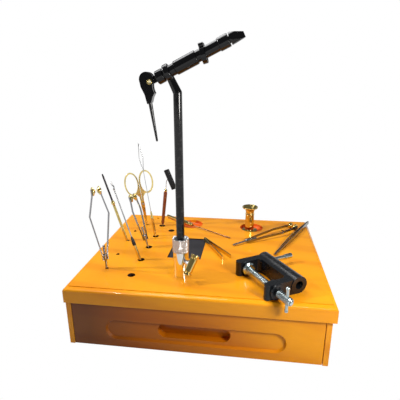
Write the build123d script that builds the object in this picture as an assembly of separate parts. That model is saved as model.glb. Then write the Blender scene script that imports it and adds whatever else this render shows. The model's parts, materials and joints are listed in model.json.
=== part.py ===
"""A fly tying cabinet: a lacquered pine box with one drawer, whose thick lid is the work surface.

A vise stands on the lid on a polished post, hand tools stand in drilled holes, a hair stacker
stands in a dish, and the rest of the kit, with the vise's bench clamp, lies on the lid.

Units are millimetres. The origin is on the table under the middle of the lid, +Z is up and the
drawer faces -Y. Places on the lid are given as (across, back from the front edge), across being
from the lid's left or right end.
"""
from build123d import *
import os
from math import cos, hypot, pi, radians, sin, tan

os.makedirs("parts", exist_ok=True)

# ---------------------------------------------------------------- cabinet
LID_WIDTH = 305.0
LID_DEPTH = 254.0
LID_THICK = 19.5
LID_ROUND = 4.5  # rounded top edge
LID_STEP = 0.8  # small step between the rounding and the top
LID_LEDGE = 0.8
LID_OVERHANG = 3.5  # at the front, the back and the right
LID_OVERHANG_LEFT = 0.3  # the lid sits almost flush with the left side
CARCASS_HEIGHT = 58.0
SIDE_THICK = 6.0
BACK_THICK = 6.0
BASE_THICK = 5.0
TOP = CARCASS_HEIGHT + LID_THICK

# holes in the lid: (across, back)
LEFT_END, RIGHT_END = -LID_WIDTH / 2, LID_WIDTH / 2
LARGE_BORE, LARGE_HOLE_DEPTH = 9.5, 12.0
SMALL_BORE, SMALL_HOLE_DEPTH = 4.8, 13.5
LARGE_FREE = [(LEFT_END + 69.9, 38.6), (LEFT_END + 88.8, 184.1)]
SMALL_FREE = [
    (LEFT_END + 34.0, 92.0), (LEFT_END + 32.8, 174.8), (LEFT_END + 54.3, 235.7),
    (RIGHT_END - 43.0, 206.0),
]
TWIST_HOLE = (LEFT_END + 69.9, 80.2)
MINI_BOBBIN_HOLE = (LEFT_END + 69.9, 119.6)
THREADER_HOLE = (LEFT_END + 69.9, 159.5)
PLIERS_HOLE = (LEFT_END + 69.3, 203.2)
BOBBIN_HOLE = (LEFT_END + 34.0, 51.7)
BODKIN_HOLE = (LEFT_END + 32.5, 138.5)
SCISSORS_HOLE = (LEFT_END + 43.5, 204.8)

# dishes and the pad inlay
DISH_DIAMETER = 36.0
DISH_DEPTH = 5.0
DISH_ROUND = 2.0
LEFT_DISH = (LEFT_END + 116.0, 216.5)
RIGHT_DISH = (RIGHT_END - 91.6, 213.1)
PAD_LEFT, PAD_RIGHT = LEFT_END + 102.5, LEFT_END + 147.5
PAD_FRONT, PAD_BACK = 91.0, 158.0
PAD_RECESS = 3.0
PAD_THICK = 1.6
PAD_FIT = 0.3  # gap round the pad

# ---------------------------------------------------------------- drawer
FRONT_THICK = 18.0
FRONT_GAP = 0.8  # at each side of the drawer front and of the drawer box
FRONT_LIFT = 1.0  # above the table
LID_GAP = 1.6  # shadow gap under the lid
RECESS_LENGTH, RECESS_HEIGHT, RECESS_DEPTH = 208.0, 25.5, 3.0
RECESS_MIDDLE = 24.0
RECESS_SLOPE = 30.0  # degrees, wall of the routed recess
PULL_LENGTH, PULL_HEIGHT, PULL_DEPTH = 84.0, 18.4, 12.0
PULL_MIDDLE = 26.4
DRAWER_WALL = 7.0
DRAWER_HEIGHT = 42.0
DRAWER_GAP_BEHIND = 7.0
DRAWER_FLOOR = 4.0
DRAWER_CLEARANCE = 0.4  # over the base panel

# ---------------------------------------------------------------- post and vise
RUN = 0.05  # radial clearance of running fits
POST_AT = (LEFT_END + 129.7, 48.0)
POST_DIAMETER = 18.3
POST_HEIGHT = 44.0
STEM_FLOOR = 4.0  # bottom of the post's bore, over the lid
SPIGOT_DIAMETER = 14.0
STUD_DIAMETER = 9.5
STUD_HOLE = 10.2
NUT_ACROSS, NUT_HEIGHT = 15.0, 5.5
WASHER_DIAMETER, WASHER_THICK = 20.0, 1.5
POCKET_DIAMETER, POCKET_DEPTH = 24.0, 8.5
COLLAR_DIAMETER = 19.6
COLLAR_BOTTOM, COLLAR_TOP = 31.3, 48.0
COLLAR_GAP = 0.1
KNURL_TEETH, KNURL_DEPTH = 48, 0.45
COUNTERSINK = 15.5
LOCK_UP, LOCK_TURN, LOCK_ROLL = 20.5, -42.4, 57.0  # brass locking screw on the post
LOCK_SHANK, LOCK_REACH = 5.0, 19.8
LOCK_BAR_DIAMETER, LOCK_BAR_LENGTH = 9.4, 25.0
STEM_DIAMETER = 9.5
BEND_UP = 212.35  # where the stem leans, over the lid
NECK_RUN = 22.4  # from the bend to the barrel's axis
NECK_DIAMETER = 7.6
BARREL_TILT = 26.0
EYE_DIAMETER, EYE_WIDTH, EYE_ALONG = 17.8, 6.4, 12.9
TUBE_DIAMETER = 12.0
ROD_DIAMETER = 8.0
REAR_SLEEVE_DIAMETER, REAR_SLEEVE_LENGTH = 14.4, 8.4
FRONT_SLEEVE_DIAMETER, FRONT_SLEEVE_START, FRONT_SLEEVE_END = 14.4, 21.6, 46.8
JAW_SLEEVE_DIAMETER, JAW_SLEEVE_START, JAW_SLEEVE_END = 13.8, 71.2, 82.5
JAW_GAP = 1.0  # travel left behind the jaws
JAW_DIAMETER, JAW_TIP = 12.6, 98.0
JAW_SLIT = 0.5
PIN_BACK = 8.0  # lever pin behind the barrel's end
PIN_DIAMETER, PIN_BORE = 5.6, 3.2
TANG_THICK, TANG_HEIGHT = 4.0, 6.8
FORK_GAP, FORK_RADIUS = 4.3, 12.5
CAM_THICK = 9.0
CAM_RADIUS = 7.6
CAM_OFF = (-3.5, 2.5)  # cam's centre from the pin
LEVER_TIP = (4.6, -61.0)
HANDLE_DIAMETER, HANDLE_TIP = 4.6, 2.4
CLIP_RADIUS, CLIP_STRIP, CLIP_WIDTH, CLIP_ALONG, CLIP_HANG = 8.2, 0.9, 5.0, 54.0, 1.2
CLIP_EAR, CLIP_EAR_APART = 4.8, 9.6  # curled ends of the strip
CLIP_LEAN = 10.0  # the strip hangs nearer to upright than the barrel's own square

# ---------------------------------------------------------------- bench clamp
CLAMP_AT = (RIGHT_END - 95.5, 57.7)  # where the screw's axis meets the fixed jaw
CLAMP_TURN = -57.45
CLAMP_THICK = 18.0
JAW_ARM = 9.6
CLAMP_MOUTH = 50.0
SCREW_ARM = 8.5
THROAT = 17.7
SOCKET_OUT = 29.0  # socket's axis from the screw's axis
SOCKET_DIAMETER = 20.5
SOCKET_FRONT, SOCKET_BACK = 60.0, -9.8
ARM_END = -12.8
ARM_ROUND = 4.2
CLAMP_SCREW, CLAMP_THREAD_CLEARANCE = 7.4, 0.06
PAD_DIAMETER, PAD_LENGTH, PAD_START = 16.5, 4.5, 1.0
BUSH_DIAMETER, BUSH_LENGTH = 11.0, 1.6  # ring where the screw leaves the frame
SHOULDER_DIAMETER, SHOULDER_GAP = 8.8, 0.4  # the screw's thicker outer end
SCREW_END = 84.5
TBAR_DIAMETER, TBAR_LENGTH, TBAR_ALONG, TBAR_TILT = 3.6, 26.0, 76.5, 90.0
SIDE_SCREW_ALONG, SIDE_SCREW_SHANK, SIDE_SCREW_HEAD, SIDE_SCREW_END = -6.0, 5.0, 6.6, 69.0

UP = (Align.CENTER, Align.CENTER, Align.MIN)
ACROSS = (Align.CENTER, Align.CENTER, Align.CENTER)


def on_lid(place, up=0.0):
    """The point over a place on the lid, up millimetres above its top."""
    return Vector(place[0], place[1] - LID_DEPTH / 2, TOP + up)


def rod(start, end, diameter, end_diameter=None):
    """A round bar from one point to another, tapered if it has a second diameter."""
    run = Vector(end) - Vector(start)
    if end_diameter is None:
        bar = Cylinder(diameter / 2, run.length, align=UP)
    else:
        bar = Cone(diameter / 2, end_diameter / 2, run.length, align=UP)
    return Plane(origin=start, z_dir=run) * bar


def wire(points, diameter):
    """Round wire through the points, with a ball at each corner."""
    line = rod(points[0], points[1], diameter)
    for start, end in zip(points[1:], points[2:]):
        line += Pos(Vector(start)) * Sphere(diameter / 2)
        line += rod(start, end, diameter)
    return line


def turned(*profile):
    """A solid turned about Z. The profile is (radius, height) from the bottom up."""
    outline = Polyline((0, profile[0][1]), *profile, (0, profile[-1][1]), close=True)
    return revolve(Plane.XZ * make_face(outline), Axis.Z)


def tube(outer, inner, start, end):
    """A straight tube along Z."""
    length = end - start
    wall = Cylinder(outer / 2, length, align=UP) - Cylinder(inner / 2, length, align=UP)
    return Pos(0, 0, start) * wall


def standing(hole, sink, left=0.0, back=0.0, turn=0.0):
    """The frame of a tool that stands in a hole: its origin is the tool's lowest point.

    left and back are the lean in degrees, and the axis crosses the hole's own at half its depth.
    """
    axis = Vector(-tan(radians(left)), tan(radians(back)), 1).normalized()
    middle = on_lid(hole, -sink / 2)
    facing = Vector(cos(radians(turn)), sin(radians(turn)), 0)
    return Plane(origin=middle - axis * (sink / 2 / axis.Z), x_dir=facing, z_dir=axis)


# ================================================================ cabinet
CARCASS_DEPTH = LID_DEPTH - 2 * LID_OVERHANG
FRONT_Y = -CARCASS_DEPTH / 2
BACK_Y = CARCASS_DEPTH / 2
OUTER_LEFT, OUTER_RIGHT = LEFT_END + LID_OVERHANG_LEFT, RIGHT_END - LID_OVERHANG
INNER_LEFT, INNER_RIGHT = OUTER_LEFT + SIDE_THICK, OUTER_RIGHT - SIDE_THICK
FRONT_MIDDLE = (INNER_LEFT + INNER_RIGHT) / 2
DRAWER_LENGTH = CARCASS_DEPTH - FRONT_THICK - BACK_THICK - DRAWER_GAP_BEHIND


def block(x0, x1, y0, y1, z0, z1):
    """A board between two corners."""
    middle = ((x0 + x1) / 2, (y0 + y1) / 2, (z0 + z1) / 2)
    return Pos(middle) * Box(x1 - x0, y1 - y0, z1 - z0)


def lid_board():
    """The lid, with its rounded edge, tool holes, dishes, pad recess and post hole."""
    slab = Pos(0, 0, CARCASS_HEIGHT) * Box(LID_WIDTH, LID_DEPTH, LID_THICK - LID_STEP, align=UP)
    slab = fillet(slab.faces().sort_by(Axis.Z)[-1].edges(), LID_ROUND)
    inset = 2 * (LID_ROUND + LID_LEDGE)
    plateau = Box(LID_WIDTH - inset, LID_DEPTH - inset, LID_STEP, align=UP)
    board = slab + Pos(0, 0, TOP - LID_STEP) * plateau

    large = [*LARGE_FREE, TWIST_HOLE, MINI_BOBBIN_HOLE, THREADER_HOLE, PLIERS_HOLE]
    small = [*SMALL_FREE, BOBBIN_HOLE, BODKIN_HOLE, SCISSORS_HOLE]
    for places, bore, depth in (
        (large, LARGE_BORE, LARGE_HOLE_DEPTH), (small, SMALL_BORE, SMALL_HOLE_DEPTH)
    ):
        for place in places:
            board -= Pos(on_lid(place, -depth)) * Cylinder(bore / 2, depth, align=UP)

    dish = Cylinder(DISH_DIAMETER / 2, 2 * DISH_DEPTH, align=UP)
    dish = fillet(dish.edges().sort_by(Axis.Z)[0], DISH_ROUND)
    for place in (LEFT_DISH, RIGHT_DISH):
        board -= Pos(on_lid(place, -DISH_DEPTH)) * dish

    front_left = on_lid((PAD_LEFT, PAD_FRONT))
    back_right = on_lid((PAD_RIGHT, PAD_BACK))
    board -= block(front_left.X, back_right.X, front_left.Y, back_right.Y, TOP - PAD_RECESS, TOP)

    post = on_lid(POST_AT, -LID_THICK)
    board -= Pos(post) * Cylinder(STUD_HOLE / 2, LID_THICK, align=UP)
    board -= Pos(post) * Cylinder(POCKET_DIAMETER / 2, POCKET_DEPTH, align=UP)
    return board


def cabinet():
    """The fixed box: lid, two sides, back, base and the pad inlaid in the lid."""
    front_left = on_lid((PAD_LEFT + PAD_FIT, PAD_FRONT + PAD_FIT))
    back_right = on_lid((PAD_RIGHT - PAD_FIT, PAD_BACK - PAD_FIT))
    pad_floor = TOP - PAD_RECESS
    base_front = FRONT_Y + FRONT_THICK + FRONT_GAP
    inner_back = BACK_Y - BACK_THICK
    return {
        "lid_board": lid_board(),
        "side_left": block(OUTER_LEFT, INNER_LEFT, FRONT_Y, BACK_Y, 0, CARCASS_HEIGHT),
        "side_right": block(INNER_RIGHT, OUTER_RIGHT, FRONT_Y, BACK_Y, 0, CARCASS_HEIGHT),
        "back_panel": block(INNER_LEFT, INNER_RIGHT, inner_back, BACK_Y, 0, CARCASS_HEIGHT),
        "base_panel": block(INNER_LEFT, INNER_RIGHT, base_front, inner_back, 0, BASE_THICK),
        "pad_inlay": block(
            front_left.X, back_right.X, front_left.Y, back_right.Y, pad_floor, pad_floor + PAD_THICK
        ),
    }


# ================================================================ drawer
def slot_cut(length, height, up, depth, slope=0.0):
    """A round-ended cut into the drawer front, its middle up millimetres over the table."""
    face = Plane(origin=(FRONT_MIDDLE, FRONT_Y, up), x_dir=(1, 0, 0), z_dir=(0, 1, 0))
    return extrude(face * SlotOverall(length, height), depth, taper=slope)


def drawer():
    """The drawer: a thick routed front and a plain dovetail-height box behind it."""
    left, right = INNER_LEFT + FRONT_GAP, INNER_RIGHT - FRONT_GAP
    front_back = FRONT_Y + FRONT_THICK
    front = block(left, right, FRONT_Y, front_back, FRONT_LIFT, CARCASS_HEIGHT - LID_GAP)
    front -= slot_cut(RECESS_LENGTH, RECESS_HEIGHT, RECESS_MIDDLE, RECESS_DEPTH, RECESS_SLOPE)
    front -= slot_cut(PULL_LENGTH, PULL_HEIGHT, PULL_MIDDLE, PULL_DEPTH)
    low = BASE_THICK + DRAWER_CLEARANCE
    high = low + DRAWER_HEIGHT
    end = front_back + DRAWER_LENGTH
    in_left, in_right = left + DRAWER_WALL, right - DRAWER_WALL
    in_end = end - DRAWER_WALL
    return {
        "drawer_front": front,
        "drawer_side_left": block(left, in_left, front_back, end, low, high),
        "drawer_side_right": block(in_right, right, front_back, end, low, high),
        "drawer_back": block(in_left, in_right, in_end, end, low, high),
        "drawer_bottom": block(in_left, in_right, front_back, in_end, low, low + DRAWER_FLOOR),
    }


# ================================================================ post
LOCK_AIM = Vector(cos(radians(LOCK_TURN)), sin(radians(LOCK_TURN)), 0)
LOCK_CENTRE = on_lid(POST_AT, LOCK_UP) + LOCK_AIM * LOCK_REACH


def knurled(diameter, length):
    """A knurled round bar: a star-shaped outline with a tooth for each rib."""
    outer, inner = diameter / 2, diameter / 2 - KNURL_DEPTH
    step = pi / KNURL_TEETH
    radii = [outer if n % 2 == 0 else inner for n in range(2 * KNURL_TEETH)]
    corners = [(r * cos(n * step), r * sin(n * step)) for n, r in enumerate(radii)]
    return extrude(make_face(Polyline(*corners, close=True)), length)


def post():
    """The polished post, bolted down through the lid, with its loose knurled collar."""
    radius, spigot = POST_DIAMETER / 2, SPIGOT_DIAMETER / 2
    socket = STEM_DIAMETER / 2 + RUN
    body = turned((radius, 0), (radius, COLLAR_BOTTOM), (spigot, COLLAR_BOTTOM), (spigot, POST_HEIGHT))
    body += Pos(0, 0, -LID_THICK) * Cylinder(STUD_DIAMETER / 2, LID_THICK, align=UP)
    body -= Pos(0, 0, STEM_FLOOR) * Cylinder(socket, POST_HEIGHT, align=UP)
    body = Pos(on_lid(POST_AT)) * body
    body -= rod(on_lid(POST_AT, LOCK_UP), LOCK_CENTRE, LOCK_SHANK + 2 * RUN)

    collar = Pos(0, 0, COLLAR_BOTTOM + COLLAR_GAP) * knurled(
        COLLAR_DIAMETER, COLLAR_TOP - COLLAR_BOTTOM - COLLAR_GAP
    )
    collar -= Cylinder(spigot + RUN, POST_HEIGHT + COLLAR_GAP, align=UP)
    collar -= Cylinder(socket, COLLAR_TOP, align=UP)
    sink = COUNTERSINK / 2 - socket
    collar -= Pos(0, 0, COLLAR_TOP - sink) * Cone(socket, COUNTERSINK / 2, sink, align=UP)

    seat = on_lid(POST_AT, POCKET_DEPTH - LID_THICK)
    washer = tube(WASHER_DIAMETER, STUD_HOLE, -WASHER_THICK, 0)
    nut = extrude(RegularPolygon(NUT_ACROSS / 2, 6, major_radius=False), NUT_HEIGHT)
    nut -= Cylinder(STUD_DIAMETER / 2, NUT_HEIGHT, align=UP)
    return {
        "post_tube": body,
        "post_washer": Pos(seat) * washer,
        "post_nut": Pos(seat + Vector(0, 0, -WASHER_THICK - NUT_HEIGHT)) * nut,
        "post_collar": Pos(on_lid(POST_AT)) * collar,
    }


def post_screw():
    """The brass locking screw: a shank through the post's wall and a turned cross bar."""
    roll = radians(LOCK_ROLL)
    side = Vector(-LOCK_AIM.Y, LOCK_AIM.X, 0)
    along = side * cos(roll) + Vector(0, 0, 1) * sin(roll)
    half, body = LOCK_BAR_LENGTH / 2, LOCK_BAR_DIAMETER / 2
    rim, groove, lip = body + 0.4, body - 0.7, 2.6
    profile = [(rim - 0.5, 0), (rim, 0.5), (rim, lip), (groove, lip + 0.3), (groove, lip + 1.5)]
    profile += [(body, lip + 1.8), (body, half)]
    mirrored = [(radius, LOCK_BAR_LENGTH - height) for radius, height in reversed(profile[:-1])]
    bar = turned(*profile, *mirrored)
    bar = Plane(origin=LOCK_CENTRE - along * half, z_dir=along) * bar
    near = on_lid(POST_AT, LOCK_UP) + LOCK_AIM * (STEM_DIAMETER / 2 + 2 * RUN)
    shank = rod(near, LOCK_CENTRE, LOCK_SHANK)
    boss_start = LOCK_CENTRE - LOCK_AIM * (body + 1.6)
    shank += rod(boss_start, LOCK_CENTRE, LOCK_SHANK + 2.2)
    return {"post_screw_shank": shank, "post_screw_bar": bar - shank}


# ================================================================ vise head
LEAN = Vector(-sin(radians(BARREL_TILT)), 0, cos(radians(BARREL_TILT)))
BARREL_AXIS = Vector(cos(radians(BARREL_TILT)), 0, sin(radians(BARREL_TILT)))
BEND = on_lid(POST_AT, BEND_UP)
EYE = BEND + LEAN * NECK_RUN
HEAD = Plane(origin=EYE - BARREL_AXIS * EYE_ALONG, x_dir=LEAN, z_dir=BARREL_AXIS)
PIN = HEAD.from_local_coords((0, 0, -PIN_BACK))
LEVER = Plane(origin=PIN, x_dir=(1, 0, 0), z_dir=(0, -1, 0))


def stem():
    """The black stem, straight up the post, leaning back to an eye round the barrel."""
    bar = rod(on_lid(POST_AT, STEM_FLOOR + RUN), BEND, STEM_DIAMETER)
    bar += Pos(BEND) * Sphere(STEM_DIAMETER / 2)
    bar += rod(BEND, EYE, STEM_DIAMETER, NECK_DIAMETER)
    eye = Pos(0, 0, EYE_ALONG - EYE_WIDTH / 2) * Cylinder(EYE_DIAMETER / 2, EYE_WIDTH, align=UP)
    eye = fillet(eye.edges(), 1.6)
    bore = Cylinder(TUBE_DIAMETER / 2 + RUN, 2 * EYE_ALONG, align=UP)
    return {"stem": bar + HEAD * eye - HEAD * bore}


def sleeve(diameter, start, end, chamfered):
    """A ring on the barrel tube, with bevelled ends."""
    radius = diameter / 2
    edge = radius - chamfered
    ring = turned(
        (edge, start), (radius, start + chamfered), (radius, end - chamfered), (edge, end)
    )
    return ring - Cylinder(TUBE_DIAMETER / 2, end, align=UP)


def barrel():
    """The barrel: a tube with a sleeve at the rear, one in the middle and one at the jaws."""
    sleeves = [
        sleeve(REAR_SLEEVE_DIAMETER, 0, REAR_SLEEVE_LENGTH, 0.7),
        sleeve(FRONT_SLEEVE_DIAMETER, FRONT_SLEEVE_START, FRONT_SLEEVE_END, 0.8),
        sleeve(JAW_SLEEVE_DIAMETER, JAW_SLEEVE_START, JAW_SLEEVE_END, 0.5),
    ]
    return {
        "barrel_tube": HEAD * tube(TUBE_DIAMETER, ROD_DIAMETER + 2 * RUN, 0, JAW_SLEEVE_END),
        "barrel_sleeves": HEAD * Compound(children=sleeves),
    }


def collet():
    """The draw rod with its flat tang, lever pin and the slit jaws at its front end."""
    jaw_start = JAW_SLEEVE_END + JAW_GAP
    tang_end = 1.5
    flat = TANG_HEIGHT / 2
    tang = Pos(0, 0, (tang_end - PIN_BACK) / 2) * Box(TANG_HEIGHT, TANG_THICK, tang_end + PIN_BACK)
    tang += Pos(0, 0, -PIN_BACK) * Rot(90, 0, 0) * Cylinder(flat, TANG_THICK)
    shaft = Pos(0, 0, tang_end) * Cylinder(ROD_DIAMETER / 2, jaw_start - tang_end, align=UP)

    radius = JAW_DIAMETER / 2
    outline = Polyline(
        (-radius, jaw_start), (radius, jaw_start), (radius, jaw_start + 1.6), (0.3, JAW_TIP),
        (-5.3, JAW_TIP), (-radius, jaw_start + 3.5), close=True,
    )
    side = extrude(Plane.XZ * make_face(outline), radius, both=True)
    plan = Polyline(
        (jaw_start, -radius), (jaw_start, radius), (jaw_start + 3, radius), (JAW_TIP, 2.2),
        (JAW_TIP, -2.2), (jaw_start + 3, -radius), close=True,
    )
    facing = Plane(origin=(0, 0, 0), x_dir=(0, 0, 1), z_dir=(1, 0, 0))
    above = extrude(facing * make_face(plan), radius, both=True)
    jaws = Pos(0, 0, jaw_start) * Cylinder(radius, JAW_TIP - jaw_start, align=UP) & side & above
    slit_start = JAW_SLEEVE_START
    slit = Pos(0, 0, slit_start) * Box(2 * radius, JAW_SLIT, JAW_TIP - slit_start, align=UP)

    pin_hole = Pos(0, 0, -PIN_BACK) * Rot(90, 0, 0) * Cylinder(PIN_DIAMETER / 2, CAM_THICK)
    pin_length = CAM_THICK + 1.0
    pin = Cylinder(PIN_DIAMETER / 2, pin_length) - Cylinder(PIN_BORE / 2, pin_length)
    return {
        "collet_jaws": HEAD * (tang + shaft + jaws - slit - pin_hole),
        "lever_pin": LEVER * pin,
    }


def lever():
    """The cam lever: a forked cam head with a heel, and a tapered handle hanging from it."""
    cam = Pos(CAM_OFF[0], CAM_OFF[1]) * Circle(CAM_RADIUS)
    heel, waist = (4.9, -11.2), 21.0
    notch = ThreePointArc((3.8, 1.6), (2.9, -4.8), heel)
    rest = Polyline(
        heel, (2.7, -15.0), (1.0, -waist), (-3.3, -waist - 1.4), (-4.4, -18.5), (-5.9, -12.6),
        (-9.7, -5.0), (-10.8, 0.6), (3.8, 1.6),
    )
    plate = extrude(cam + make_face([notch, rest]), CAM_THICK / 2, both=True)
    handle = rod((-1.4, 2 - waist, 0), (*LEVER_TIP, 0), HANDLE_DIAMETER, HANDLE_TIP)
    handle += Pos(*LEVER_TIP, 0) * Sphere(HANDLE_TIP / 2)
    body = plate + handle
    body -= Cylinder(FORK_RADIUS, FORK_GAP)
    body -= Cylinder(PIN_DIAMETER / 2 + RUN, 2 * CAM_THICK)
    return {"cam_lever": LEVER * body}


def material_clip():
    """The spring strip that hangs round the barrel, open at the top between two curled ears."""
    outer = CLIP_RADIUS + CLIP_STRIP
    ring = Circle(outer) - Circle(CLIP_RADIUS)
    ring -= Pos(outer, 0) * Rectangle(outer, CLIP_EAR_APART)
    ear = Circle(CLIP_EAR / 2) - Circle(CLIP_EAR / 2 - CLIP_STRIP)
    edge, half = CLIP_RADIUS + 0.8, CLIP_EAR_APART / 2
    ears = Pos(edge, half) * ear + Pos(edge, -half) * ear
    strip = extrude(ring + ears, CLIP_WIDTH / 2, both=True)
    place = Pos(-CLIP_HANG, 0, CLIP_ALONG) * Rot(0, -CLIP_LEAN, 0)
    return {"material_clip": HEAD * place * strip}


# ================================================================ bobbins
TUBE_OUT, TUBE_IN = 2.8, 1.6
BOBBIN_TUBE = 30.0
BOBBIN_COLLAR = 7.0
ARM_WIDTH, ARM_THICK = 3.4, 1.2
BUTTON_DIAMETER, BUTTON_RIM, BUTTON_BOSS = 10.5, 1.6, 2.0


def bobbin(name, frame, bend, button):
    """A bobbin holder: tube, a bent spring strip each side and a brass button on each end.

    bend and button are (half width, height over the joint) of the arms' bends and buttons.
    """
    joint = BOBBIN_TUBE
    stub = 12.0
    collar_radius = TUBE_OUT / 2 + 1.2
    pipe = tube(TUBE_OUT, TUBE_IN, 0, joint + stub)
    collar = tube(2 * collar_radius, TUBE_OUT, joint - BOBBIN_COLLAR, joint)
    root = collar_radius + ARM_THICK / 2
    tip = button[0] + BUTTON_RIM + ARM_THICK / 2
    reach = joint + button[1]
    points = [
        (root, joint - BOBBIN_COLLAR), (root, joint), (bend[0], joint + bend[1]),
        (tip, reach - BUTTON_DIAMETER / 2), (tip, reach + 2.5),
    ]
    strip = extrude(Plane.XZ * trace(Polyline(*points), ARM_THICK), ARM_WIDTH / 2, both=True)
    disc = Cylinder(BUTTON_DIAMETER / 2, BUTTON_RIM, align=UP)
    disc = chamfer(disc.edges().sort_by(Axis.Z)[-1], BUTTON_RIM / 3)
    disc += Cone(2.2, BUTTON_DIAMETER / 2 - 1.2, BUTTON_BOSS, align=(*UP[:2], Align.MAX))
    right = Plane(origin=(button[0], 0, reach), z_dir=(1, 0, 0)) * disc
    return {
        f"{name}_tube": frame * (pipe + collar),
        f"{name}_arms": frame * (strip + mirror(strip, Plane.YZ)),
        f"{name}_buttons": frame * (right + mirror(right, Plane.YZ)),
    }


SEAT = 11.0  # how far the tools reach into the holes
BOBBIN_FRAME = standing(BOBBIN_HOLE, SEAT, left=2.9, turn=41)
MINI_BOBBIN_FRAME = standing(MINI_BOBBIN_HOLE, SEAT, left=14.0, turn=45)
LYING_TURN, LYING_RISE = 39.4, 0.031  # rises to the buttons
LYING_TIP = on_lid((RIGHT_END - 116.9, 137.7), 2.1)
LYING_AIM = Vector(cos(radians(LYING_TURN)), sin(radians(LYING_TURN)), LYING_RISE)
LYING_FRAME = Plane(origin=LYING_TIP, x_dir=LYING_AIM.cross(Vector(0, 0, 1)), z_dir=LYING_AIM)

# the arms' bends and buttons of each holder: (half width, height over the joint)
BOBBIN_BEND, BOBBIN_BUTTON = (11.8, 52.0), (3.4, 82.0)
MINI_BEND, MINI_BUTTON = (6.3, 38.0), (2.7, 56.0)
LYING_BEND, LYING_BUTTON = (9.0, 54.0), (4.6, 86.0)


def bobbins():
    """Three bobbin holders: two standing in holes and one lying on the lid."""
    return (
        bobbin("bobbin", BOBBIN_FRAME, BOBBIN_BEND, BOBBIN_BUTTON)
        | bobbin("mini_bobbin", MINI_BOBBIN_FRAME, MINI_BEND, MINI_BUTTON)
        | bobbin("lying_bobbin", LYING_FRAME, LYING_BEND, LYING_BUTTON)
    )


# ================================================================ standing tools
TWIST_FRAME = standing(TWIST_HOLE, SEAT, left=16.6)
BODKIN_SEAT = 6.0
BODKIN_FRAME = standing(BODKIN_HOLE, BODKIN_SEAT, left=16.8)
THREADER_FRAME = standing(THREADER_HOLE, SEAT, left=7.8)
PLIERS_FRAME = standing(PLIERS_HOLE, SEAT, left=-6.7)


def dubbing_twister():
    """A brass handle with a black ferrule and a long steel shaft ending in a double hook."""
    handle = Cylinder(2.1, 33.0, align=UP)
    handle = chamfer(handle.edges().sort_by(Axis.Z)[0], 0.6)
    ferrule = turned((2.4, 33.0), (2.3, 38.0), (1.2, 45.0))
    tip = 121.0
    shaft = rod((0, 0, 45.0), (0, 0, tip - 10), 1.7)
    shaft += wire([(0, 0, tip - 10), (1.1, 0, tip - 7), (-0.7, 0, tip - 3.5), (-0.2, 0, tip)], 1.7)
    shaft += Pos(0, 0, tip - 10) * Sphere(1.3)
    return {
        "twister_handle": TWIST_FRAME * handle,
        "twister_ferrule": TWIST_FRAME * ferrule,
        "twister_shaft": TWIST_FRAME * shaft,
    }


def bodkin():
    """A brass half-hitch tool with a turned knob, and a dark steel needle above it."""
    seat = BODKIN_SEAT
    body = turned(
        (1.1, 0), (1.3, 0.6), (1.3, seat + 0.8), (1.9, seat + 2.0), (1.9, seat + 56.0),
        (1.3, seat + 57.0), (2.6, seat + 58.5), (2.6, seat + 61.5), (1.6, seat + 63.5),
    )
    needle = turned((1.35, seat + 63.5), (1.35, seat + 100.0), (0.9, seat + 104.5))
    return {"bodkin_body": BODKIN_FRAME * body, "bodkin_needle": BODKIN_FRAME * needle}


def threader():
    """A slim brass handle holding a wire that opens into a diamond loop."""
    handle = turned((1.5, 0), (2.1, 0.6), (2.1, 40.0), (1.0, 51.0))
    start, loop, wide, tip = 51.0, 112.0, 132.0, 153.5
    steel = 0.9
    line = rod((0, 0, start - 0.01), (0, 0, loop), steel)
    for side in (-1, 1):
        line += wire([(0, 0, loop), (side * 2.9, 0, wide), (0, 0, tip)], steel)
    line += Pos(0, 0, tip) * Sphere(steel / 2) + Pos(0, 0, loop) * Sphere(steel / 2)
    return {"threader_handle": THREADER_FRAME * handle, "threader_wire": THREADER_FRAME * line}


PLIERS_NECK = 73.5  # swivel bead's top, up the hackle pliers


def hackle_pliers():
    """Rotating hackle pliers: spike, wooden handle, brass bead and a clip on a swivelling wire."""
    spike = rod((0, 0, 0), (0, 0, SEAT + 3), 3.4)
    handle = turned((2.0, SEAT + 3), (2.5, SEAT + 5), (2.9, PLIERS_NECK - 6), (2.2, PLIERS_NECK - 4.5))
    bead = Pos(0, 0, PLIERS_NECK - 2.4) * Sphere(2.6)
    bore = rod((0, 0, PLIERS_NECK - 4.5), (0, 0, PLIERS_NECK + 1), 1.1 + 2 * RUN)
    base = Pos(0, 0, PLIERS_NECK - 4.5) * Box(8, 8, 8, align=(Align.CENTER, Align.CENTER, Align.MAX))
    bead -= bore + base

    hook = PLIERS_NECK + 17.0
    line = wire([(0, 0, PLIERS_NECK - 4.4), (0, 0, hook - 4), (2.0, 0, hook + 0.6)], 1.1)
    clip_axis = Vector(0.47, 0, -0.88)
    clip_top = Vector(-2.0, 0, hook + 14.5)
    clip_plane = Plane(origin=clip_top, x_dir=(0.88, 0, 0.47), z_dir=clip_axis)
    shell = Box(8.6, 4.4, 33.0, align=UP)
    shell = fillet(shell.edges().filter_by(Axis.Z), 1.6)
    shell = fillet(shell.faces().sort_by(Axis.Z)[0].edges(), 1.5)
    jaw_gap = Pos(0, 0, 14) * Box(9, 0.6, 20, align=UP)
    clip = clip_plane * (shell - jaw_gap)
    return {
        "pliers_spike": PLIERS_FRAME * spike,
        "pliers_handle": PLIERS_FRAME * handle,
        "pliers_bead": PLIERS_FRAME * bead,
        "pliers_wire": PLIERS_FRAME * line,
        "pliers_clip": PLIERS_FRAME * (clip - line),
    }


# ================================================================ scissors
SCISSORS_SEAT = 4.0
SCISSORS_FRAME = standing(SCISSORS_HOLE, SCISSORS_SEAT, left=8.0, turn=25)
PIVOT_UP = 40.0
BLADE_THICK = 1.5
BLADE_GAP = 0.06
BOW_HALF, BOW_TALL, BOW_WIRE = 11.3, 18.8, 2.2
BOW_UP = 75.0
SCREW_HOLE = 2.4


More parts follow.
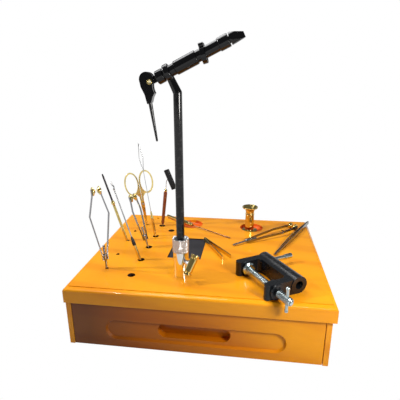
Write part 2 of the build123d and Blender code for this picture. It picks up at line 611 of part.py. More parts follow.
def scissors_half(side):
    """One half of the scissors: an oval bow, a shank and a blade that crosses at the pivot."""
    ring = Ellipse(BOW_HALF, BOW_TALL) - Ellipse(BOW_HALF - BOW_WIRE, BOW_TALL - BOW_WIRE)
    out = side * (BOW_HALF + 0.25)
    bow = extrude(Plane.XZ * Pos(out, BOW_UP) * ring, 1.6, both=True)
    low = BOW_UP - BOW_TALL
    shank_outline = Polyline(
        (side * 0.3, PIVOT_UP + 6), (side * 0.3, BOW_UP - 5), (side * 2.0, BOW_UP - 5),
        (side * 4.6, low + 5.5), (side * 7.6, low + 1.2), (side * 3.1, low - 4),
        (side * 2.7, PIVOT_UP + 6), close=True,
    )
    shank = extrude(Plane.XZ * make_face(shank_outline), 1.5, both=True)
    blade_outline = Polyline(
        (side * 2.7, PIVOT_UP + 7), (side * 0.3, PIVOT_UP + 7), (-side * 0.3, PIVOT_UP + 2),
        (-side * 2.8, PIVOT_UP - 3), (-side * 0.9, 3), (-side * 0.5, 0.2), (side * 0.3, 0),
        (side * 1.5, 8), (side * 3.2, PIVOT_UP), close=True,
    )
    blade = extrude(Plane.XZ * make_face(blade_outline), -side * BLADE_THICK)
    blade = Pos(0, side * BLADE_GAP / 2, 0) * blade
    screw = Pos(0, 0, PIVOT_UP) * Rot(90, 0, 0) * Cylinder(SCREW_HOLE / 2 + RUN, 12)
    return bow + shank + blade - screw


def scissors():
    """Gilt scissors, closed, points down in their hole, with the pivot screw."""
    half = BLADE_THICK + BLADE_GAP / 2
    screw = Cylinder(SCREW_HOLE / 2, 2 * half)
    for end in (-1, 1):
        screw += Pos(0, 0, end * (half + 0.4)) * Cylinder(1.9, 0.8)
    screw = Pos(0, 0, PIVOT_UP) * Rot(90, 0, 0) * screw
    return {
        "scissors_left": SCISSORS_FRAME * scissors_half(-1),
        "scissors_right": SCISSORS_FRAME * scissors_half(1),
        "scissors_screw": SCISSORS_FRAME * screw,
    }


# ================================================================ lying tools
WHIP_START = (LEFT_END + 70.5, 240.5)
WHIP_MIDDLE = (LEFT_END + 119.3, 202.4)
WHIP_END = (LEFT_END + 181.4, 164.6)
WHIP_UP = 3.8
WHIP_HANDLE, WHIP_BLOCK, WHIP_BORE, WHIP_WIRE = 4.6, 7.0, 3.0, 1.5
WHIP_RUN = on_lid(WHIP_MIDDLE, WHIP_UP) - on_lid(WHIP_START, WHIP_UP)
WHIP_FRAME = Plane(origin=on_lid(WHIP_START, WHIP_UP), x_dir=(0, 0, 1), z_dir=WHIP_RUN)


def whip_finisher():
    """A tube handle with a brass swivel block, and a long wire with a thicker dark tip."""
    length = WHIP_RUN.length
    block_start, radius = length - 20.0, WHIP_BLOCK / 2
    handle = tube(WHIP_HANDLE, WHIP_BORE, 0, block_start)
    swivel = turned(
        (radius - 0.6, block_start), (radius, block_start + 0.6), (radius, length - 8),
        (radius - 1.0, length - 7), (radius - 1.0, length - 5.5), (radius - 0.4, length - 5),
        (radius - 0.4, length - 1), (radius - 1.4, length),
    )
    swivel -= Cylinder(WHIP_WIRE / 2 + RUN, length, align=UP)
    start = WHIP_FRAME.from_local_coords((0, 0, block_start + 1))
    neck = WHIP_FRAME.from_local_coords((0, 0, length + 3))
    end = on_lid(WHIP_END, 1.3)
    tip = end + (neck - end).normalized() * 7
    line = wire([start, neck, end], WHIP_WIRE)
    line += rod(tip, end, WHIP_WIRE + 0.6) + Pos(end) * Sphere(WHIP_WIRE / 2 + 0.3)
    return {
        "whip_handle": WHIP_FRAME * handle,
        "whip_swivel": WHIP_FRAME * swivel,
        "whip_wire": line,
    }


def lying(place, turn):
    """The frame of a tool that lies on the lid, its X along the tool."""
    return Plane(origin=on_lid(place), x_dir=Vector(cos(radians(turn)), sin(radians(turn)), 0))


BRASS_TWEEZERS_FRAME = lying((LEFT_END + 146.1, 150.6), -57.0)
BRASS_LENGTH, BRASS_SPREAD, BRASS_STRIP, BRASS_HEIGHT = 65.0, 4.6, 1.5, 5.4


def brass_tweezers():
    """Flat brass tweezers on edge: two straight strips that spread from one rounded end."""
    end = BRASS_LENGTH * tan(radians(BRASS_SPREAD))
    line = [(0, BRASS_STRIP / 2), (BRASS_LENGTH, BRASS_STRIP / 2 + end)]
    arm = extrude(trace(Polyline(*line), BRASS_STRIP), BRASS_HEIGHT)
    bend = Cylinder(BRASS_STRIP, BRASS_HEIGHT, align=UP)
    return {"brass_tweezers": BRASS_TWEEZERS_FRAME * (arm + mirror(arm, Plane.XZ) + bend)}


STEEL_TWEEZERS_FRAME = lying((RIGHT_END + 0.5, 242.0), -115.5)
STEEL_LENGTH, STEEL_HEIGHT, STEEL_STRIP, STEEL_BOW = 142.0, 5.2, 1.2, 2.2


def steel_tweezers():
    """Long fine-pointed tweezers on edge: two bowed strips welded at the back end."""
    tip, weld = STEEL_LENGTH, 16.0
    outline = Polyline(
        (0, 0), (0, 4.4), (12, STEEL_HEIGHT), (0.62 * tip, STEEL_HEIGHT), (tip, 1.9), (tip, 0.9),
        (0.67 * tip, 0), close=True,
    )
    profile = extrude(Plane.XZ * make_face(outline), 12, both=True)
    half = STEEL_STRIP / 2
    bow = [
        (0, half), (weld, half + 0.1), (0.3 * tip, 0.75 * STEEL_BOW), (0.5 * tip, STEEL_BOW),
        (0.72 * tip, 0.85 * STEEL_BOW), (tip - 1, half + 0.15),
    ]
    arm = extrude(trace(Polyline(*bow), STEEL_STRIP), 9) & profile
    spacer = block(0, weld - 1, -0.2, 0.2, 0, 4.4)
    return {"steel_tweezers": STEEL_TWEEZERS_FRAME * (arm + mirror(arm, Plane.XZ) + spacer)}


STACKER_AT = (RIGHT_END - 94.9, 211.5)
STACKER_BODY, STACKER_FLANGE, STACKER_HEIGHT = 13.4, 25.0, 28.0
STACKER_RIM, STACKER_RISE = 24.3, 12.8  # the funnel's rim, and its height over the cup
STACKER_WALL = 1.5


def hair_stacker():
    """A brass hair stacker in two pieces: a flanged cup and a funnel tube that slides into it."""
    body, flange = STACKER_BODY / 2, STACKER_FLANGE / 2
    bore = body - STACKER_WALL
    floor = 3.0
    cup = turned((flange - 0.6, 0), (flange, 0.6), (flange, 2.4), (body + 0.4, 3.4), (body, STACKER_HEIGHT))
    cup -= Pos(0, 0, floor) * Cylinder(bore, STACKER_HEIGHT, align=UP)
    sleeve_radius = bore - 2 * RUN
    inner = sleeve_radius - 1.2
    rim, rim_up = STACKER_RIM / 2, STACKER_HEIGHT + STACKER_RISE
    neck = STACKER_HEIGHT + 0.2
    flare = rim_up - 8.0
    funnel = turned(
        (sleeve_radius, floor + 0.2), (sleeve_radius, neck), (body + 0.4, neck), (body + 0.4, neck + 1.6),
        (body - 0.1, neck + 2.2), (body - 0.1, flare), (body + 0.5, flare + 2.2),
        (body + 1.9, flare + 4.2), (rim, rim_up - 1.6), (rim, rim_up),
    )
    funnel -= Cylinder(inner, rim_up, align=UP)
    funnel -= Pos(0, 0, flare) * Cone(inner, rim - 1.0, rim_up - flare, align=UP)
    place = Pos(on_lid(STACKER_AT, -DISH_DEPTH))
    return {"stacker_cup": place * cup, "stacker_funnel": place * funnel}


# ================================================================ bench clamp
CLAMP_AIM = Vector(cos(radians(CLAMP_TURN)), sin(radians(CLAMP_TURN)), 0)
CLAMP_FRAME = Plane(origin=on_lid(CLAMP_AT), x_dir=CLAMP_AIM)
CLAMP_SIDE = CLAMP_FRAME.y_dir
MIDDLE = CLAMP_THICK / 2
SCREW_LINE = Plane(origin=on_lid(CLAMP_AT, MIDDLE), x_dir=CLAMP_SIDE, z_dir=CLAMP_AIM)
BOSS_END = CLAMP_MOUTH + SCREW_ARM + 2.5


def clamp_frame():
    """The cast C: two arms and a spine that carries the round socket for the vise's stem."""
    outer_out = SOCKET_OUT + 5.0
    outline = Polyline(
        (-JAW_ARM, ARM_END), (0, ARM_END), (0, THROAT), (CLAMP_MOUTH, THROAT),
        (CLAMP_MOUTH, ARM_END), (CLAMP_MOUTH + SCREW_ARM, ARM_END),
        (CLAMP_MOUTH + SCREW_ARM + 1, outer_out), (-JAW_ARM, outer_out), close=True,
    )
    body = extrude(make_face(outline), CLAMP_THICK)
    inner = body.edges().filter_by(Axis.Z).filter_by_position(Axis.Y, THROAT - 0.1, THROAT + 0.1)
    body = fillet(inner, 5.0)
    ends = body.edges().filter_by(Axis.Z).filter_by_position(Axis.Y, ARM_END - 0.1, ARM_END + 0.1)
    body = fillet(ends, ARM_ROUND)
    boss = Cylinder(SOCKET_DIAMETER / 2, SOCKET_FRONT - SOCKET_BACK, align=UP)
    boss_plane = Plane(
        origin=(SOCKET_BACK, SOCKET_OUT, SOCKET_DIAMETER / 2), x_dir=(0, 1, 0), z_dir=(1, 0, 0)
    )
    body += boss_plane * boss
    screw_boss = Cylinder(MIDDLE, BOSS_END - CLAMP_MOUTH + 1.5, align=UP)
    body += Pos(CLAMP_MOUTH - 1.5, 0, MIDDLE) * Rot(0, 90, 0) * screw_boss
    bush = Cylinder(BUSH_DIAMETER / 2, BUSH_LENGTH, align=UP)
    body += Pos(BOSS_END, 0, MIDDLE) * Rot(0, 90, 0) * bush
    body -= boss_plane * Cylinder(STEM_DIAMETER / 2 + 3 * RUN, 2 * SOCKET_FRONT, align=UP)
    thread = CLAMP_SCREW / 2 + CLAMP_THREAD_CLEARANCE
    body -= Pos(CLAMP_MOUTH - 10, 0, MIDDLE) * Rot(0, 90, 0) * Cylinder(thread, 40, align=UP)
    tapped = SIDE_SCREW_SHANK / 2 + RUN
    body -= Pos(SIDE_SCREW_ALONG, SOCKET_OUT, MIDDLE) * Rot(-90, 0, 0) * Cylinder(tapped, 20, align=UP)
    return CLAMP_FRAME * body


def clamp():
    """The bench clamp: frame, swivelling pad, screw with its sliding bar, and the stem's screw."""
    pad_end = PAD_START + PAD_LENGTH
    socket = CLAMP_SCREW / 2 - 0.6
    pad = turned((PAD_DIAMETER / 2 - 0.8, PAD_START), (PAD_DIAMETER / 2, PAD_START + 0.8),
                 (PAD_DIAMETER / 2, pad_end - 1.4), (PAD_DIAMETER / 2 - 2.2, pad_end))
    pad -= Pos(0, 0, PAD_START + 1.5) * Cylinder(socket + RUN, PAD_LENGTH, align=UP)
    thick, shoulder = SHOULDER_DIAMETER / 2, BOSS_END + BUSH_LENGTH + SHOULDER_GAP
    screw = rod((0, 0, pad_end + 0.1), (0, 0, shoulder + 1), CLAMP_SCREW)
    screw += rod((0, 0, PAD_START + 1.6), (0, 0, pad_end + 0.2), 2 * socket)
    screw += turned(
        (thick - 0.5, shoulder), (thick, shoulder + 0.5), (thick, SCREW_END - 3.4),
        (thick - 0.7, SCREW_END - 1.6), (thick - 2.2, SCREW_END - 0.3), (1.0, SCREW_END),
    )
    tilt = radians(TBAR_TILT)
    bar_axis = Vector(cos(tilt), -sin(tilt), 0)
    centre = Vector(0, 0, TBAR_ALONG)
    screw -= rod(centre - bar_axis * 8, centre + bar_axis * 8, TBAR_DIAMETER + 2 * RUN)
    half = TBAR_LENGTH / 2
    bar = rod(centre - bar_axis * half, centre + bar_axis * half, TBAR_DIAMETER)
    for end in (-half, half):
        bar += Pos(centre + bar_axis * end) * Sphere(TBAR_DIAMETER / 2 + 0.4)

    shank_start = SOCKET_OUT + STEM_DIAMETER / 2 + 0.4
    head_start = SIDE_SCREW_END - 10.0
    side_screw = rod((0, shank_start, 0), (0, head_start + 0.5, 0), SIDE_SCREW_SHANK)
    side_screw += rod((0, head_start, 0), (0, SIDE_SCREW_END, 0), SIDE_SCREW_HEAD)
    cross = SIDE_SCREW_END - 3.6
    side_screw -= rod((0, cross, -SIDE_SCREW_HEAD), (0, cross, SIDE_SCREW_HEAD), 2.6)
    return {
        "clamp_frame": clamp_frame(),
        "clamp_pad": SCREW_LINE * pad,
        "clamp_screw": SCREW_LINE * screw,
        "clamp_bar": SCREW_LINE * bar,
        "clamp_side_screw": CLAMP_FRAME * Pos(SIDE_SCREW_ALONG, 0, MIDDLE) * side_screw,
    }


# ================================================================ the whole kit
PARTS = (
    cabinet() | drawer() | post() | post_screw() | stem() | barrel() | collet() | lever()
    | material_clip() | bobbins() | dubbing_twister() | bodkin() | threader() | hackle_pliers()
    | scissors() | whip_finisher() | brass_tweezers() | steel_tweezers() | hair_stacker() | clamp()
)

for node, shape in PARTS.items():
    export_step(shape, f"parts/{node}.step")
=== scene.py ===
import json
from math import pi, radians

import bmesh
import bpy
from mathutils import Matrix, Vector


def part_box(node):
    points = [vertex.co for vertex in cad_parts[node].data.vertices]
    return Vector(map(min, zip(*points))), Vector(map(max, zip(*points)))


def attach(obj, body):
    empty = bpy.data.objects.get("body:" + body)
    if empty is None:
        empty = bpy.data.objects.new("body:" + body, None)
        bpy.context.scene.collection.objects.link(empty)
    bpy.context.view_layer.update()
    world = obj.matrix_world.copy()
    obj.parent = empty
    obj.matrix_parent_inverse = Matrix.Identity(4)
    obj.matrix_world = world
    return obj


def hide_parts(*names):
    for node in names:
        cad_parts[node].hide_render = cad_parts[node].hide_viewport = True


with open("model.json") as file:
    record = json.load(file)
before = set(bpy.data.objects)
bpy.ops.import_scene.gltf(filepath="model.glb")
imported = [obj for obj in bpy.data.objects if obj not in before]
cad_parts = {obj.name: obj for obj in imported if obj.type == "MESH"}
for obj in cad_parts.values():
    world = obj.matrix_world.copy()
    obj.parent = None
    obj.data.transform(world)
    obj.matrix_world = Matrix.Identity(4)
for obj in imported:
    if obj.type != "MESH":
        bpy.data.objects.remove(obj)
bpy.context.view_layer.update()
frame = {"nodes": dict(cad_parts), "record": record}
NODES = frame["nodes"]
SLOT = {part["node"]: part["material_slot"] for part in frame["record"]["subparts"]}
BODY = {node: body for body, nodes in frame["record"]["behaviour"]["bodies"].items() for node in nodes}
MM = 0.001


# ================================================================ node helpers
class Graph:
    """A node tree and a short way to add to it."""

    def __init__(self, tree):
        self.tree = tree

    def node(self, kind, **settings):
        node = self.tree.nodes.new(kind)
        for key, value in settings.items():
            setattr(node, key, value)
        return node

    def link(self, source, target):
        self.tree.links.new(source, target)

    def join(self, value, socket):
        """Sets a socket to a number or a colour, or links an output to it."""
        if isinstance(value, (int, float)):
            socket.default_value = value
        elif isinstance(value, tuple):
            socket.default_value = (*value, 1.0)
        else:
            self.link(value, socket)

    def place(self, scale=(1, 1, 1), rotation=(0, 0, 0), location=(0, 0, 0)):
        """Object coordinates, scaled, turned and moved."""
        mapping = self.node("ShaderNodeMapping")
        for key, value in (("Scale", scale), ("Rotation", rotation), ("Location", location)):
            mapping.inputs[key].default_value = value
        self.link(self.node("ShaderNodeTexCoord").outputs["Object"], mapping.inputs["Vector"])
        return mapping.outputs["Vector"]

    def noise(self, scale, detail=3.0, roughness=0.5, vector=None):
        noise = self.node("ShaderNodeTexNoise")
        settings = {"Scale": scale, "Detail": detail, "Roughness": roughness, "Distortion": 0.0}
        for key, value in settings.items():
            noise.inputs[key].default_value = value
        self.link(vector or self.place(), noise.inputs["Vector"])
        return noise.outputs["Fac"]

    def ramp(self, factor, *stops):
        ramp = self.node("ShaderNodeValToRGB")
        elements = ramp.color_ramp.elements
        while len(elements) < len(stops):
            elements.new(0.5)
        for element, (position, colour) in zip(elements, stops):
            element.position = position
            element.color = (*colour, 1.0) if isinstance(colour, tuple) else (colour, colour, colour, 1.0)
        self.link(factor, ramp.inputs["Fac"])
        return ramp.outputs["Color"]

    def mix(self, factor, first, second, mode="MIX"):
        mix = self.node("ShaderNodeMix", data_type="RGBA", blend_type=mode)
        for value, socket in ((factor, mix.inputs[0]), (first, mix.inputs[6]), (second, mix.inputs[7])):
            self.join(value, socket)
        return mix.outputs[2]

    def math(self, operation, first, second=0.0, third=0.5):
        node = self.node("ShaderNodeMath", operation=operation)
        for value, socket in zip((first, second, third), node.inputs):
            self.join(value, socket)
        return node.outputs[0]

    def blend(self, factor, first, second):
        """Mixes two shaders."""
        mix = self.node("ShaderNodeMixShader")
        for source, socket in zip((factor, first, second), mix.inputs):
            self.link(source, socket)
        return mix.outputs[0]

    def seen_in_mirrors(self):
        """1 for rays that show this by reflection or through glass."""
        rays = self.node("ShaderNodeLightPath")
        return self.math("MAXIMUM", rays.outputs["Is Glossy Ray"], rays.outputs["Is Transmission Ray"])

    def seen_by_camera(self):
        return self.node("ShaderNodeLightPath").outputs["Is Camera Ray"]


class Look(Graph):
    """A material under construction: a Principled shader in its own tree."""

    def __init__(self, name, **inputs):
        self.material = bpy.data.materials.new(name)
        self.material.use_nodes = True
        super().__init__(self.material.node_tree)
        self.shader = self.tree.nodes["Principled BSDF"]
        for key, value in inputs.items():
            self.set(key, value)

    def set(self, key, value):
        self.join(value, self.shader.inputs[key.replace("_", " ")])

    def bump(self, height, strength, distance):
        bump = self.node("ShaderNodeBump")
        bump.inputs["Strength"].default_value = strength
        bump.inputs["Distance"].default_value = distance
        self.link(height, bump.inputs["Height"])
        self.link(bump.outputs["Normal"], self.shader.inputs["Normal"])


# ================================================================ materials
PAINTED_SHADE_SPAN = 0.30  # the width in metres that the stops of the painted shade cover
PORE_FINENESS = 60
RINGS = {"Scale": 14.0, "Distortion": 5.0, "Detail": 2.5, "Detail Scale": 1.2}
WORN_BLACK = (0.10, 0.10, 0.10)
GRAIN_ACROSS = {"x": (0.16, 1.0, 1.0), "y": (1.0, 0.16, 1.0), "z": (1.0, 1.0, 0.16)}


def pine(name, along, light, dark, offset=(0.0, 0.0, 0.0), gloss=True, painted_shade=()):
    """Pine with long growth rings, fine pores and, when glossy, a coat of lacquer.

    The optional stops give a painted shade across the width of the cabinet: a darker tint, multiplied in by
    position along X, that stands in for light falling off towards one end.
    """
    look = Look(name, Roughness=0.38 if gloss else 0.6, IOR=1.5, Specular_IOR_Level=0.12 if gloss else 0.4)
    stretched = look.place(GRAIN_ACROSS[along], location=offset)
    wander = look.noise(9.0, 2.0, vector=stretched)
    rings = look.node("ShaderNodeTexWave", wave_type="BANDS", bands_direction="DIAGONAL")
    for key, value in RINGS.items():
        rings.inputs[key].default_value = value
    look.link(stretched, rings.inputs["Vector"])
    ring = look.ramp(rings.outputs["Fac"], (0.0, 0.0), (0.62, 0.18), (0.88, 0.75), (1.0, 1.0))
    pores = look.place(tuple(scale * PORE_FINENESS for scale in GRAIN_ACROSS[along]))
    fine = look.noise(9.0, 4.0, 0.6, pores)
    streak = look.ramp(fine, (0.35, 0.0), (0.7, 1.0))
    cloud = look.noise(7.0, 2.0, vector=look.place(location=offset))
    middle = tuple((a + b) / 2 for a, b in zip(light, dark))
    base = look.mix(look.ramp(cloud, (0.3, 0.0), (0.75, 0.6)), light, middle)
    base = look.mix(look.math("MULTIPLY", ring, 0.42), base, dark)
    base = look.mix(look.math("MULTIPLY", streak, 0.16), base, dark)
    base = look.mix(look.math("MULTIPLY", look.ramp(wander, (0.45, 0.0), (0.7, 1.0)), 0.25), base, light)
    # painted shade: the wood is darkened by position across the cabinet, standing in for light that falls
    # off towards one end
    if painted_shade:
        apart = look.node("ShaderNodeSeparateXYZ")
        look.link(look.place(), apart.inputs[0])
        across = look.math("MULTIPLY_ADD", apart.outputs["X"], 1 / PAINTED_SHADE_SPAN)
        base = look.mix(1.0, base, look.ramp(across, *painted_shade), "MULTIPLY")
    look.set("Base_Color", base)
    if gloss:
        look.set("Coat_Weight", 0.62)
        look.set("Coat_Roughness", 0.05)
        look.set("Coat_IOR", 1.4)
        height = look.mix(0.35, look.noise(22.0, 2.0), ring)
        look.bump(height, 0.12, 0.0006)
    else:
        look.bump(look.mix(0.5, streak, ring), 0.25, 0.0004)
    return look.material


def metal(name, colour, roughness, scratch=0.08, tint=0.12, bump=0.05):
    """Bare metal: smudged roughness, a little colour change and fine scratches."""
    look = Look(name, Metallic=1.0, Roughness=roughness)
    smudge = look.noise(90.0, 4.0, 0.6)
    low = max(0.02, roughness - scratch)
    look.set("Roughness", look.ramp(smudge, (0.3, low), (0.75, roughness + scratch)))
    worn = look.noise(160.0, 3.0)
    darker = tuple(c * (1 - tint * 2) for c in colour)
    look.set("Base_Color", look.mix(look.ramp(worn, (0.4, 0.0), (0.75, 1.0)), colour, darker))
    look.bump(look.noise(900.0, 2.0), bump, 0.0002)
    return look.material


def black_finish(name, colour, roughness, grain_scale, grain):
    """Black oxide or enamel over metal, a little thinner on the edges where it has been handled."""
    look = Look(name, Roughness=roughness, IOR=1.42)
    edge = look.node("ShaderNodeNewGeometry").outputs["Pointiness"]
    noise = look.noise(240.0, 4.0, 0.6)
    handled = look.ramp(edge, (0.56, 0.0), (0.68, 1.0))
    rub = look.math("MULTIPLY", handled, look.ramp(noise, (0.5, 0.0), (0.7, 1.0)))
    look.set("Base_Color", look.mix(look.math("MULTIPLY", rub, 0.3), colour, WORN_BLACK))
    patch = look.noise(60.0, 3.0)
    look.set("Roughness", look.ramp(patch, (0.3, roughness - 0.05), (0.75, roughness + 0.07)))
    if grain:
        look.bump(look.noise(grain_scale, 3.0), grain, 0.0004)
    return look.material


def plain(name, colour, roughness, grain_scale=700.0, grain=0.1):
    look = Look(name, Roughness=roughness)
    cloud = look.noise(120.0, 3.0)
    darker = tuple(c * 0.75 for c in colour)
    look.set("Base_Color", look.mix(look.ramp(cloud, (0.35, 0.0), (0.7, 1.0)), colour, darker))
    look.bump(look.noise(grain_scale, 3.0), grain, 0.0004)
    return look.material


def threaded(name, colour, roughness, turn, pitch):
    """Plated steel with a fine screw thread cut across the direction turn, its grooves darkened with painted
    shade.
    """
    look = Look(name, Metallic=1.0, Roughness=roughness)
    smudge = look.noise(90.0, 4.0, 0.6)
    look.set("Roughness", look.ramp(smudge, (0.3, roughness - 0.06), (0.75, roughness + 0.08)))
    crest = look.node("ShaderNodeTexWave", wave_type="BANDS", bands_direction="X")
    crest.inputs["Scale"].default_value = 2 * pi / (20 * pitch)
    look.link(look.place(rotation=(0, 0, turn)), crest.inputs["Vector"])
    # painted shade: the thread's valleys are coloured down to 0.35 of the colour for the shade in the
    # grooves
    dark = tuple(c * 0.35 for c in colour)
    look.set("Base_Color", look.ramp(crest.outputs["Fac"], (0.1, dark), (0.6, colour)))
    look.bump(crest.outputs["Fac"], 0.6, pitch / 3)
    return look.material


def knurled(name, colour, roughness, axis, radius, pitch):
    """Bright steel with a diamond knurl pressed round a vertical axis, its hollows darkened with painted
    shade.
    """
    look = Look(name, Metallic=1.0, Roughness=roughness)
    apart = look.node("ShaderNodeSeparateXYZ")
    look.link(look.place(location=(-axis[0], -axis[1], 0)), apart.inputs[0])
    around = look.math("MULTIPLY", look.math("ARCTAN2", apart.outputs["Y"], apart.outputs["X"]), radius)
    rate = 2 * pi / pitch
    ridges = [look.math("SINE", look.math("MULTIPLY", look.math(way, around, apart.outputs["Z"]), rate))
              for way in ("ADD", "SUBTRACT")]
    diamond = look.math("MULTIPLY_ADD", look.math("ADD", *ridges), 0.25)
    # painted shade: the knurl's hollows are coloured down to 0.3 of the colour for the shade in them
    dark = tuple(c * 0.3 for c in colour)
    look.set("Base_Color", look.ramp(diamond, (0.12, dark), (0.5, colour)))
    look.bump(diamond, 0.7, pitch / 3)
    return look.material


AMBER = (0.90, 0.36, 0.008)
AMBER_DARK = (0.64, 0.18, 0.003)
CLAMP_TURN = 57.45  # degrees that bring the clamp's long axis onto X
CLAMP_PITCH = 0.0016
POST_AXIS = (-0.0228, -0.079)
COLLAR_RADIUS = 0.0105
KNURL_PITCH = 0.0011
MATERIALS = {
    "lacquered_pine": pine("lacquered_pine", "x", AMBER, AMBER_DARK),
    "raw_pine": pine("raw_pine", "y", (0.72, 0.52, 0.27), (0.52, 0.31, 0.13), gloss=False),
    "pad_foam": plain("pad_foam", (0.008, 0.007, 0.012), 0.7, 1500.0, 0.3),
    "polished_chrome": metal("polished_chrome", (0.90, 0.89, 0.86), 0.05, 0.03, 0.03, 0.01),
    "bright_steel": metal("bright_steel", (0.78, 0.78, 0.80), 0.2),
    "tool_steel": metal("tool_steel", (0.50, 0.50, 0.50), 0.2),
    "zinc_steel": metal("zinc_steel", (0.58, 0.68, 0.70), 0.22),
    "dark_steel": metal("dark_steel", (0.06, 0.055, 0.06), 0.3),
    "black_steel": black_finish("black_steel", (0.003, 0.003, 0.004), 0.11, 900.0, 0.0),
    "black_cast_iron": black_finish("black_cast_iron", (0.006, 0.007, 0.009), 0.26, 420.0, 0.10),
    "black_plastic": plain("black_plastic", (0.012, 0.012, 0.012), 0.4),
    "brass": metal("brass", (0.76, 0.60, 0.22), 0.14),
    "gilt_steel": metal("gilt_steel", (0.84, 0.66, 0.24), 0.13),
    "rosewood": plain("rosewood", (0.24, 0.06, 0.022), 0.25, 400.0, 0.2),
}
SIDE_PINE = pine("side_pine", "y", AMBER, AMBER_DARK, offset=(0.3, 0.1, 0.2))
FRONT_PAINTED_SHADE = (  # painted shade, as tints from the left end of the drawer front to its right end: darker at the left, where less of the light falls
    (0.08, (0.26, 0.20, 0.9)), (0.28, (0.52, 0.36, 0.3)), (0.62, (0.74, 0.58, 0.2)), (0.86, (1.0, 1.0, 0.3)),
)
FRONT_PINE_PAINTED_SHADE = pine("front_pine_painted_shade", "x", AMBER, AMBER_DARK, offset=(0.17, 0.4, 0.13), painted_shade=FRONT_PAINTED_SHADE)
DISH_PINE = pine("dish_pine", "x", (0.84, 0.15, 0.016), (0.50, 0.05, 0.006), offset=(0.4, 0.2, 0.3))
# painted shade: a near-black brown that stands in for the shade inside the lid's drilled holes
HOLE_PAINTED_SHADE = plain("hole_painted_shade", (0.055, 0.018, 0.008), 0.6, 900.0, 0.4)
KNURL = knurled("knurled_steel", (0.80, 0.81, 0.83), 0.22, POST_AXIS, COLLAR_RADIUS, KNURL_PITCH)
WARM_WIRE = metal("warm_wire", (0.22, 0.10, 0.05), 0.35)
SHADED_WIRE = metal("shaded_wire", (0.30, 0.30, 0.31), 0.2)
CLAMP_THREAD = threaded("threaded_zinc", (0.62, 0.72, 0.74), 0.22, radians(CLAMP_TURN), CLAMP_PITCH)


# ================================================================ pieces over the frame
EDGE = 0.25 * MM  # width of a softened edge
EDGE_STEPS = 2
CREASE = radians(34.0)  # faces that meet at more than this have an edge between them
MERGE = 1e-6
COPLANAR = radians(0.4)
FLAT = 0.9999  # a face whose normal reaches this along an axis is shaded flat
ROUNDED_ALREADY = ("lid_board",)  # its own edges are rounded in the solid


def dress(node, material):
    """A finished copy of a CAD piece: welded, with softened edges and a real material."""
    bevel = node not in ROUNDED_ALREADY
    mesh = NODES[node].data.copy()
    mesh.name = f"{node}_mesh"
    grid = bmesh.new()
    grid.from_mesh(mesh)
    bmesh.ops.remove_doubles(grid, verts=grid.verts, dist=MERGE)
    if bevel:
        bmesh.ops.dissolve_limit(grid, angle_limit=COPLANAR, verts=grid.verts, edges=grid.edges)
    grid.to_mesh(mesh)
    grid.free()
    mesh.materials.clear()
    mesh.materials.append(material)
    mesh.set_sharp_from_angle(angle=CREASE)
    for face in mesh.polygons:
        face.use_smooth = bevel or max(abs(along) for along in face.normal) < FLAT
    piece = bpy.data.objects.new(f"{node}_finished", mesh)
    bpy.context.scene.collection.objects.link(piece)
    if bevel:
        edge = piece.modifiers.new("edge", "BEVEL")
        edge.width = EDGE
        edge.segments = EDGE_STEPS
        edge.limit_method = "ANGLE"
        edge.angle_limit = CREASE
        edge.use_clamp_overlap = True
        shade = piece.modifiers.new("shade", "WEIGHTED_NORMAL")
        shade.weight = 100
        shade.keep_sharp = True
    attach(piece, BODY[node])
    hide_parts(node)
    return piece


def paint(piece, material, chosen):
    """Gives the faces whose middles chosen() picks a second material."""
    mesh = piece.data
    mesh.materials.append(material)
    index = len(mesh.materials) - 1
    for face in mesh.polygons:
        if chosen(face.center):
            face.material_index = index


OWN_MATERIAL = {
    "side_left": SIDE_PINE, "side_right": SIDE_PINE, "drawer_front": FRONT_PINE_PAINTED_SHADE, "post_collar": KNURL,
    "clamp_screw": CLAMP_THREAD, "whip_wire": WARM_WIRE,
    "bobbin_arms": SHADED_WIRE, "bobbin_tube": SHADED_WIRE,
    "lying_bobbin_arms": SHADED_WIRE, "mini_bobbin_arms": SHADED_WIRE,
}
FINISHED = {name: dress(name, OWN_MATERIAL.get(name, MATERIALS[SLOT[name]])) for name in NODES}

# the lid's turned dishes are redder than its face, and the walls of its drilled holes get a near-black
# painted shade for the shade inside them
LID_LOW, LID_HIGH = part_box("lid_board")
DISH_RADIUS = 18.2 * MM
DISHES = (Vector((-36.5, 89.5)) * MM, Vector((60.9, 86.1)) * MM)
RIM_DEPTH = 0.35 * MM
LID_MARGIN = 20 * MM


def sunk(middle):
    inside = all(low + LID_MARGIN < at < high - LID_MARGIN
                 for low, at, high in zip(LID_LOW.xy, middle.xy, LID_HIGH.xy))
    return inside and LID_LOW.z + MM / 2 < middle.z < LID_HIGH.z - RIM_DEPTH


def in_dish(middle):
    return any((middle.xy - dish).length < DISH_RADIUS for dish in DISHES)


paint(FINISHED["lid_board"], DISH_PINE, lambda middle: sunk(middle) and in_dish(middle))
paint(FINISHED["lid_board"], HOLE_PAINTED_SHADE, lambda middle: sunk(middle) and not in_dish(middle))


# ================================================================ studio
BACKDROP_SEEN = 1.0
ROOM_SEEN = 0.16
AMBIENT = 0.06
FLOOR_NEAR, FLOOR_FAR = 0.18, 0.75
MIRRORED_GLOW = 0.2
FLOOR_COLOUR = (0.42, 0.42, 0.42)
FLOOR_REACH = 4.0


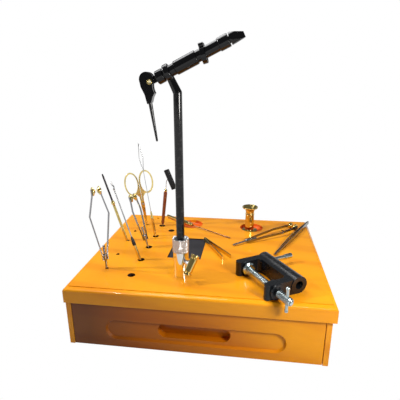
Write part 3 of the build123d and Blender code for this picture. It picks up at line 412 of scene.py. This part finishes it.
def floor_material():
    """A floor that the camera sees as plain white and polished pieces mirror darker near the object."""
    look = Look("floor", Roughness=0.9)
    look.set("Base_Color", FLOOR_COLOUR)
    away = look.node("ShaderNodeVectorMath", operation="LENGTH")
    look.link(look.place(), away.inputs[0])
    reflected = look.ramp(away.outputs["Value"], (FLOOR_NEAR, MIRRORED_GLOW), (FLOOR_FAR, 1.0))
    glow = look.math("MAXIMUM", look.seen_by_camera(),
                     look.math("MULTIPLY", look.seen_in_mirrors(), reflected))
    emission = look.node("ShaderNodeEmission")
    emission.inputs["Strength"].default_value = BACKDROP_SEEN
    mixed = look.blend(glow, look.shader.outputs[0], emission.outputs[0])
    look.link(mixed, look.tree.nodes["Material Output"].inputs["Surface"])
    return look.material


def lay_floor():
    mesh = bpy.data.meshes.new("floor")
    corners = [(x * FLOOR_REACH, y * FLOOR_REACH, 0) for x, y in ((-1, -1), (1, -1), (1, 1), (-1, 1))]
    mesh.from_pydata(corners, [], [(0, 1, 2, 3)])
    mesh.materials.append(floor_material())
    floor = bpy.data.objects.new("floor", mesh)
    bpy.context.scene.collection.objects.link(floor)


def light_room():
    """A dim room that the camera sees as white and polished pieces mirror as a pale backdrop."""
    world = bpy.data.worlds.new("studio")
    bpy.context.scene.world = world
    world.use_nodes = True
    sky = Graph(world.node_tree)
    ambient = sky.tree.nodes["Background"]
    ambient.inputs["Color"].default_value = (0.93, 0.96, 1.0, 1)
    ambient.inputs["Strength"].default_value = AMBIENT
    direction = sky.node("ShaderNodeSeparateXYZ")
    sky.link(sky.node("ShaderNodeTexCoord").outputs["Generated"], direction.inputs[0])
    low = sky.ramp(direction.outputs["Z"], (0.10, 1.0), (0.30, 0.0))
    behind = sky.ramp(sky.math("MULTIPLY_ADD", direction.outputs["Y"], 0.5), (0.20, 0.0), (0.42, 1.0))
    mirrored = sky.node("ShaderNodeBackground")
    sky.link(sky.math("MAXIMUM", sky.math("MULTIPLY", low, behind), ROOM_SEEN), mirrored.inputs["Strength"])
    white = sky.node("ShaderNodeBackground")
    white.inputs["Strength"].default_value = BACKDROP_SEEN
    for key in (mirrored, white):
        key.inputs["Color"].default_value = (1, 1, 1, 1)
    unlit = sky.blend(sky.seen_in_mirrors(), ambient.outputs[0], mirrored.outputs[0])
    final = sky.blend(sky.seen_by_camera(), unlit, white.outputs[0])
    sky.link(final, sky.tree.nodes["World Output"].inputs["Surface"])


def area_light(name, place, target, side, power, colour=(1, 1, 1)):
    data = bpy.data.lights.new(name, "AREA")
    data.shape = "RECTANGLE"
    data.size = data.size_y = side
    data.energy = power
    data.color = colour
    lamp = bpy.data.objects.new(name, data)
    lamp.location = place
    lamp.rotation_euler = (Vector(target) - Vector(place)).to_track_quat("-Z", "Y").to_euler()
    lamp.visible_camera = False
    bpy.context.scene.collection.objects.link(lamp)


lay_floor()
light_room()
area_light("key_right", (0.27, -0.28, 0.27), (0.13, -0.11, 0.03), 0.10, 1.35, (1.0, 0.98, 0.94))
area_light("left", (-0.70, -0.11, 0.62), (0.0, 0.0, 0.08), 0.05, 4.6)
area_light("overhead", (-0.2, 0.15, 0.85), (0.0, 0.0, 0.05), 0.5, 5.2)

CAMERA_PLACE = (0.0553, -0.4776, 0.3009)
CAMERA_TURN = (72.4115, 0.1672, 7.7761)
CAMERA_LENS = 33.59
camera_data = bpy.data.cameras.new("camera")
camera_data.sensor_width = 36.0
camera_data.lens = CAMERA_LENS
camera = bpy.data.objects.new("camera", camera_data)
camera.location = CAMERA_PLACE
camera.rotation_euler = [radians(a) for a in CAMERA_TURN]
bpy.context.scene.collection.objects.link(camera)
bpy.context.scene.camera = camera
bpy.context.scene.view_settings.view_transform = "Standard"
